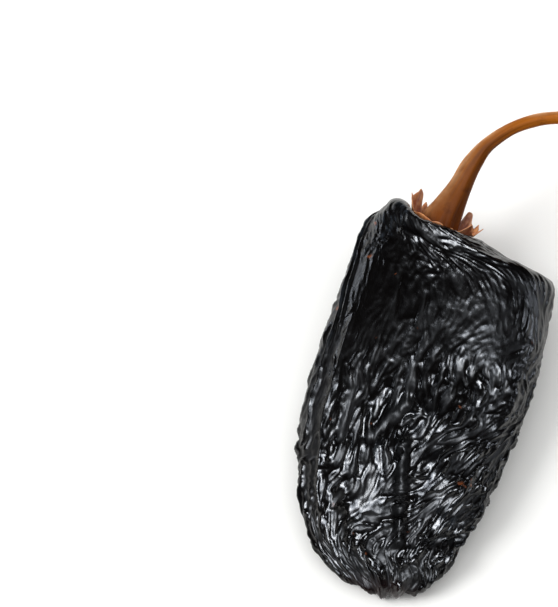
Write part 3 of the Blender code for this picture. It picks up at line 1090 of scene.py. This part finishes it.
class Surface:
    """A material in the making: its nodes, its shader and the places it reads."""

    def __init__(self, name: str) -> None:
        """Start the material with a bare shader."""
        self.material = bpy.data.materials.new(name)
        self.material.use_nodes = True
        self.tree = self.material.node_tree
        self.shader = self.tree.nodes["Principled BSDF"]
        self.place = add_node(self.tree, "ShaderNodeTexCoord").outputs["Object"]

    def painted(self, name: str):
        """Return the number that the form carries under this name."""
        return add_node(self.tree, "ShaderNodeAttribute", attribute_name=name).outputs["Fac"]

    def noise(self, per_mm: float, detail: float, roughness: float = 0.5, place=None):
        """Return a noise.

        Args:
            per_mm: blobs in a millimetre.
            detail: octaves.
            roughness: strength of the finer octaves.
            place: where it is read, if not at the point itself.

        Returns:
            Its socket.
        """
        return add_node(self.tree, "ShaderNodeTexNoise", {
            "Vector": place or self.place, "Scale": per_mm / MM, "Detail": detail,
            "Roughness": roughness}).outputs["Fac"]

    def ramp(self, factor, low: float, high: float, first: float, last: float):
        """Return a number that goes from first to last while the factor goes from low to high."""
        return add_ramp(self.tree, factor, [(low, grey(first)), (high, grey(last))])

    def mix(self, factor, under, over):
        """Return one colour laid over another."""
        return add_node(self.tree, "ShaderNodeMix", {"Factor": factor, 6: under, 7: over},
                        data_type="RGBA").outputs[2]

    def combine(self, operation: str, one, other):
        """Return two numbers put together by a Math node's operation."""
        return add_node(self.tree, "ShaderNodeMath", {0: one, 1: other}, operation=operation).outputs[0]

    def plug(self, **sockets) -> None:
        """Link sockets to the shader's inputs, named with underscores for spaces."""
        for name, socket in sockets.items():
            self.tree.links.new(socket, self.shader.inputs[name.replace("_", " ")])

    def bump(self, height, strength: float, depth: float) -> None:
        """Give the surface a fine relief."""
        made = add_node(self.tree, "ShaderNodeBump", {
            "Height": height, "Strength": strength, "Distance": depth})
        self.plug(Normal=made.outputs["Normal"])

    def set(self, **values: float) -> None:
        """Set the shader's own inputs, named with underscores for spaces."""
        for name, value in values.items():
            self.shader.inputs[name.replace("_", " ")].default_value = value


@dataclass(frozen=True)
class DriedSkin:
    """Dried chilli skin: a near-black waxy cuticle that shines on its crests.

    The lower half is satin and the shoulder glossier, furrows are matt and painted darker as shade, the
    flanks are dull, and a few crests and ribs carry a blue-grey dust of wax that is also painted sheen.
    The thin tip lets a little red through.
    """

    crest: str = "050404"
    # hollow: painted shade that darkens the furrows
    hollow: str = "020101"
    scuff: str = "6B3A20"       # where the cuticle has rubbed off
    wax_and_sheen: str = "7C8A9A"       # blue-grey wax dust that is also painted sheen on crests, ribs and flat patches
    thin: str = "1E0403"        # at the tip, where the skin is thin enough to let light through
    pores_per_mm: float = 1.1
    pore_turn: float = radians(22)
    pore_stretch: float = 0.35      # how much slower they change along the pod
    pore_depth: float = 0.3 * MM
    pore_strength: float = 0.35
    specks_per_mm: float = 0.21
    rubbed: tuple[float, float] = (0.71, 0.76)      # the noise between which the skin is bare
    rubbed_share: float = 0.9
    furrow_shade_relief: tuple[float, float] = (0.3, 0.7)       # painted shade: the colour goes from the dark hollow to the crest
    matt_relief: tuple[float, float] = (0.25, 0.6)
    flank_span: tuple[float, float] = (0.2, 1.0)
    shoulder_roughness: float = 0.18
    belly_roughness: float = 0.22
    furrow_roughness: float = 0.28      # added in the furrows
    upper_shine: float = 0.5
    flank_shine: float = 0.2
    refraction: float = 1.5

    def material(self) -> bpy.types.Material:
        """Build the material."""
        skin = Surface("dried_skin")
        relief = skin.painted("relief")
        turned = add_node(skin.tree, "ShaderNodeMapping", {
            "Vector": skin.place, "Rotation": (0.0, 0.0, self.pore_turn),
            "Scale": (1.0, self.pore_stretch, 1.0)}).outputs["Vector"]
        pores = skin.noise(self.pores_per_mm, 4.0, 0.6, turned)
        # painted shade: the furrows are coloured darker than the crests
        body = add_ramp(skin.tree, relief, list(
            zip(self.furrow_shade_relief, (linear(self.hollow), linear(self.crest)))))
        speck = skin.noise(self.specks_per_mm, 3.0)
        bare = skin.ramp(speck, *self.rubbed, 0.0, self.rubbed_share)
        specked = skin.mix(bare, body, linear(self.scuff))
        thin = skin.combine("MULTIPLY", skin.painted("tip"), speck)
        red = skin.mix(thin, specked, linear(self.thin))
        # wax dust that also paints a blue-grey sheen on the skin
        wax_and_sheen_mask = skin.combine("MULTIPLY", skin.painted("wax_and_sheen"), pores)
        gloss = skin.ramp(skin.painted("gloss"), 0.0, 1.0, self.shoulder_roughness, self.belly_roughness)
        matt = skin.ramp(relief, *self.matt_relief, self.furrow_roughness, 0.0)
        skin.plug(Base_Color=skin.mix(wax_and_sheen_mask, red, linear(self.wax_and_sheen)),
                  Roughness=skin.combine("ADD", gloss, matt),
                  Specular_IOR_Level=skin.ramp(skin.painted("flank"), *self.flank_span,
                                               self.upper_shine, self.flank_shine))
        skin.bump(pores, self.pore_strength, self.pore_depth)
        skin.set(IOR=self.refraction)
        return skin.material


@dataclass(frozen=True)
class DryPaper:
    """Dried calyx: a papery leaf, matt and blotched brown, paler towards its thin edge."""

    deep: str = "481A06"
    body: str = "9A4E22"
    thin: str = "C48450"
    blotches_per_mm: float = 0.42
    blotch_middle: float = 0.55     # the noise that leaves the colour alone
    blotch_share: float = 0.9
    grain_per_mm: float = 1.5
    grain_depth: float = 0.25 * MM
    grain_strength: float = 0.5

    def material(self) -> bpy.types.Material:
        """Build the material."""
        paper = Surface("dry_papery_leaf")
        blotch = paper.noise(self.blotches_per_mm, 5.0, 0.65)
        shift = paper.combine("SUBTRACT", blotch, self.blotch_middle)
        shift = paper.combine("MULTIPLY", shift, self.blotch_share)
        tone = paper.combine("ADD", paper.painted("edge"), shift)
        paper.plug(Base_Color=add_ramp(paper.tree, tone, [
            (0.40, linear(self.deep)), (0.78, linear(self.body)), (1.0, linear(self.thin))]))
        paper.bump(paper.noise(self.grain_per_mm, 3.0), self.grain_strength, self.grain_depth)
        paper.set(Roughness=0.6, IOR=1.45)
        return paper.material


@dataclass(frozen=True)
class DryStalk:
    """Dried stalk: fibrous wood, red-brown by the fruit, orange towards the cut end.

    Its furrows are darker, its lit side is painted paler as painted light, and it is matt enough to keep
    its colour.
    """

    foot: str = "5C2C06"
    middle: str = "7C4209"
    far: str = "AC6014"
    furrow: str = "3C1A05"
    pith: str = "A88458"
    painted_lit_side: str = "DCAA7C"    # painted light: the pale colour of the side that the lamps light
    stains_per_mm: float = 0.26
    furrow_share: float = 0.5
    furrow_span: tuple[float, float] = (0.15, 0.5)      # painted fibre between which a furrow ends
    stain_share: float = 0.6
    stain_span: tuple[float, float] = (0.60, 0.75)      # the noise between which a stain begins
    lit_patch_span: tuple[float, float] = (0.35, 0.6)       # the noise between which the painted light is stronger
    lit_patch_share: tuple[float, float] = (0.35, 0.85)
    grain_per_mm: float = 2.2
    grain_depth: float = 0.12 * MM
    grain_strength: float = 0.2

    def material(self) -> bpy.types.Material:
        """Build the material."""
        stalk = Surface("dry_fibrous_stalk")
        body = add_ramp(stalk.tree, stalk.painted("way"), [
            (0.0, linear(self.foot)), (0.35, linear(self.middle)), (0.7, linear(self.far))])
        deep = stalk.ramp(stalk.painted("fibre"), *self.furrow_span, self.furrow_share, 0.0)
        streaked = stalk.mix(deep, body, linear(self.furrow))
        blotch = stalk.noise(self.stains_per_mm, 5.0)
        stained = stalk.mix(stalk.ramp(blotch, *self.stain_span, 0.0, self.stain_share),
                            streaked, linear(self.furrow))
        patches = stalk.ramp(blotch, *self.lit_patch_span, *self.lit_patch_share)
        lit_patches = stalk.combine("MULTIPLY", stalk.painted("painted_lit_mask"), patches)
        # painted light: the pale colour laid on the stalk's lit side
        painted_lit_side = stalk.mix(lit_patches, stained, linear(self.painted_lit_side))
        stalk.plug(Base_Color=stalk.mix(stalk.painted("cut"), painted_lit_side, linear(self.pith)))
        stalk.bump(stalk.noise(self.grain_per_mm, 3.0), self.grain_strength, self.grain_depth)
        stalk.set(Roughness=0.5, Specular_IOR_Level=0.05, IOR=1.48)
        return stalk.material


# ---------------------------------------------------------------- studio


@dataclass(frozen=True)
class Lamp:
    """One softbox, which only shows as a glint on glossy skin: where it stands, how large it is."""

    name: str
    place: tuple[float, float, float]
    size: tuple[float, float]
    power: float
    colour: str = "FFFFFF"
    aim: tuple[float, float, float] = (0.0, 0.0, 0.01)

    def build(self) -> bpy.types.Object:
        """Hang the lamp."""
        light = bpy.data.lights.new(self.name, "AREA")
        light.shape = "RECTANGLE"
        light.size, light.size_y = self.size
        light.energy = self.power
        light.color = linear(self.colour)[:3]
        lamp = bpy.data.objects.new(self.name, light)
        bpy.context.scene.collection.objects.link(lamp)
        lamp.location = self.place
        lamp.rotation_euler = (Vector(self.aim) - Vector(self.place)).to_track_quat("-Z", "Y").to_euler()
        lamp.visible_diffuse = False
        return lamp


@dataclass(frozen=True)
class Panel:
    """A far, wide panel that lights the floor and the matt surfaces evenly, out to the horizon."""

    name: str
    azimuth: float          # from +Y towards -X
    elevation: float
    spread: float           # the angle that it fills
    strength: float

    def build(self) -> bpy.types.Object:
        """Hang the panel."""
        light = bpy.data.lights.new(self.name, "SUN")
        light.energy = self.strength
        light.angle = self.spread
        panel = bpy.data.objects.new(self.name, light)
        bpy.context.scene.collection.objects.link(panel)
        toward = Vector((-sin(self.azimuth) * cos(self.elevation), cos(self.azimuth) * cos(self.elevation),
                         sin(self.elevation)))
        panel.rotation_euler = toward.to_track_quat("Z", "Y").to_euler()
        panel.visible_glossy = False
        return panel


@dataclass
class Studio:
    """The pale floor, the soft lamps and the camera."""

    floor_size: float = 60.0
    floor_colour: str = "F4F4F2"
    floor_roughness: float = 0.9
    floor_shine: float = 0.1
    room_light: float = 0.008
    aim: tuple[float, float, float] = (-0.0434, 0.0208, 0.0)
    distance: float = 0.5
    elevation: float = radians(60)
    azimuth: float = radians(11)
    lens: float = 105.9
    sensor: float = 36.0
    nearest: float = 0.01           # what the camera still sees, in metres
    lamps: list[Lamp] = field(default_factory=lambda: [
        Lamp("key", (-0.08, -0.32, 0.94), (0.32, 0.27), 7.0),
        Lamp("sky", (0.06, -0.36, 0.93), (0.66, 0.66), 19.0, colour="E6EEFA"),
        Lamp("left_strip", (-1.0, 0.60, 0.16), (0.24, 0.10), 0.8, colour="E4ECFA"),
        Lamp("right_strip", (0.90, 0.34, 0.43), (0.07, 0.20), 1.0, colour="E4ECFA"),
    ])
    panels: list[Panel] = field(default_factory=lambda: [
        Panel("left_panel", azimuth=radians(108), elevation=radians(38), spread=radians(35), strength=2.7),
        Panel("ceiling_panel", azimuth=radians(-30), elevation=radians(80), spread=radians(100),
              strength=2.4),
    ])

    def build(self) -> None:
        """Set up the studio."""
        self.lay_floor()
        for lamp in [*self.lamps, *self.panels]:
            lamp.build()
        self.light_world()
        self.set_camera()

    def lay_floor(self) -> None:
        """Lay the floor, as matt card."""
        bpy.ops.object.select_all(action="DESELECT")
        bpy.ops.mesh.primitive_plane_add(size=self.floor_size)
        floor = bpy.context.object
        floor.name = "floor"
        made = bpy.data.materials.new("matt_card")
        made.use_nodes = True
        shader = made.node_tree.nodes["Principled BSDF"]
        shader.inputs["Base Color"].default_value = linear(self.floor_colour)
        shader.inputs["Roughness"].default_value = self.floor_roughness
        shader.inputs["Specular IOR Level"].default_value = self.floor_shine
        floor.data.materials.append(made)

    def light_world(self) -> None:
        """Give the room a dim, even light, and a pale wall behind the floor."""
        world = bpy.data.worlds.new("room")
        world.use_nodes = True
        tree = world.node_tree
        dim = tree.nodes["Background"]
        dim.inputs["Color"].default_value = grey(self.room_light)
        pale = add_node(tree, "ShaderNodeBackground", {"Color": grey(1.0)})
        ray = add_node(tree, "ShaderNodeLightPath")
        mixed = add_node(tree, "ShaderNodeMixShader", {
            "Fac": ray.outputs["Is Camera Ray"], 1: dim.outputs[0], 2: pale.outputs[0]})
        tree.links.new(mixed.outputs[0], tree.nodes["World Output"].inputs["Surface"])
        bpy.context.scene.world = world

    def set_camera(self) -> None:
        """Stand the camera and aim it."""
        toward = Vector((-sin(self.azimuth) * cos(self.elevation),
                         cos(self.azimuth) * cos(self.elevation), -sin(self.elevation)))
        data = bpy.data.cameras.new("camera")
        data.lens = self.lens
        data.sensor_width = self.sensor
        data.clip_start = self.nearest
        camera = bpy.data.objects.new("camera", data)
        bpy.context.scene.collection.objects.link(camera)
        camera.location = Vector(self.aim) - toward * self.distance
        camera.rotation_euler = (radians(90) - self.elevation, 0.0, self.azimuth)
        bpy.context.scene.camera = camera
        bpy.context.scene.view_settings.view_transform = "Standard"


def main() -> None:
    """Build the pepper and its studio."""
    logging.basicConfig(level=logging.INFO, format="%(name)s: %(message)s")
    seat = Seat()
    Studio().build()
    dress(Calyx(seat).build(), DryPaper().material())
    dress(Stem(seat).build(), DryStalk().material())
    dress(Pod(seat).build(), DriedSkin().material())


if __name__ == "__main__":
    main()
